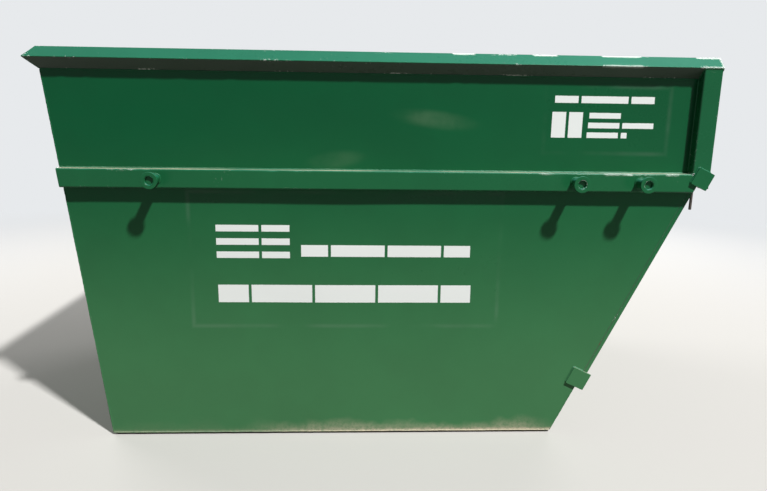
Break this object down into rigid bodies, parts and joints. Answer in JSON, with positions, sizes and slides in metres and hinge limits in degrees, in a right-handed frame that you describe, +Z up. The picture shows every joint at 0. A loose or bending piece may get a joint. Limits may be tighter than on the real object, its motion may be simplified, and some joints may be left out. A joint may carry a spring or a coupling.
{
  "type": "skip bin",
  "caption": "Open-topped steel skip bin with a leaning front wall, side rails, lifting pins and a drop-down rear door on a sloped end.",
  "frame": {"origin": "middle of the footprint, on the ground, under the middle skid strip", "axes": "+X along the bin to the rear end with the door, +Y across to the far side, +Z up"},
  "size_m": [3.012, 1.7572, 1.8],
  "materials": {
    "tub_paint": "weathered dark green enamel, satin",
    "rail_paint": "dark green enamel, satin, worn at the edges",
    "door_paint": "weathered dark green enamel, satin",
    "bare_steel": "bare and greased, dull",
    "skid_steel": "bare, scraped and rusty"
  },
  "bodies": {
    "tub": {"floor_plate": "tub_paint", "skid_strip_near": "skid_steel", "skid_strip_centre": "skid_steel", "skid_strip_far": "skid_steel", "side_wall_near": "tub_paint", "side_wall_far": "tub_paint", "front_wall": "tub_paint", "front_stiffener_near": "tub_paint", "front_stiffener_far": "tub_paint", "rim_near": "rail_paint", "rim_far": "rail_paint", "rim_front": "rail_paint", "side_rail_near": "rail_paint", "side_rail_far": "rail_paint", "rail_cap_near": "rail_paint", "rail_cap_far": "rail_paint", "corner_post_near": "rail_paint", "corner_post_far": "rail_paint", "rear_panel": "tub_paint", "rear_lintel": "tub_paint", "rear_top_rail": "rail_paint", "sill_wall": "tub_paint", "sill_rail": "tub_paint", "door_jamb_near": "tub_paint", "door_jamb_far": "tub_paint", "lift_pin_front_near": "rail_paint", "lift_pin_middle_near": "rail_paint", "lift_pin_rear_near": "rail_paint", "lift_pin_front_far": "rail_paint", "lift_pin_middle_far": "rail_paint", "lift_pin_rear_far": "rail_paint", "lift_disc_front_near": "rail_paint", "lift_disc_middle_near": "rail_paint", "lift_disc_rear_near": "rail_paint", "lift_disc_front_far": "rail_paint", "lift_disc_middle_far": "rail_paint", "lift_disc_rear_far": "rail_paint", "lower_lug_near": "rail_paint", "lower_lug_far": "rail_paint", "upper_lug_near": "rail_paint", "upper_lug_far": "rail_paint", "bolt_socket_near": "rail_paint", "bolt_socket_far": "rail_paint", "hinge_shaft": "bare_steel", "shaft_bracket_near": "tub_paint", "shaft_bracket_far": "tub_paint"},
    "door": {"door_sheet": "door_paint", "door_stile_near": "door_paint", "door_stile_far": "door_paint", "door_bottom_rail": "door_paint", "door_top_rail": "door_paint", "door_rib_lower": "door_paint", "door_rib_upper": "door_paint", "door_knuckle_near": "door_paint", "door_knuckle_centre": "door_paint", "door_knuckle_far": "door_paint", "bolt_barrel_near": "door_paint", "bolt_barrel_far": "door_paint"},
    "near_bolt": {"lock_bolt_near": "bare_steel"},
    "far_bolt": {"lock_bolt_far": "bare_steel"}
  },
  "joints": [
    {"name": "door_hinge", "type": "hinge", "parent": "tub", "child": "door", "pos_m": [1.21538, 0, 0.27836], "axis": [0, 1, 0], "range_deg": [0, 76]},
    {"name": "near_bolt_slide", "type": "slide", "parent": "door", "child": "near_bolt", "axis": [0, -1, 0], "range_m": [0, 0.044]},
    {"name": "far_bolt_slide", "type": "slide", "parent": "door", "child": "far_bolt", "axis": [0, 1, 0], "range_m": [0, 0.044]}
  ]
}
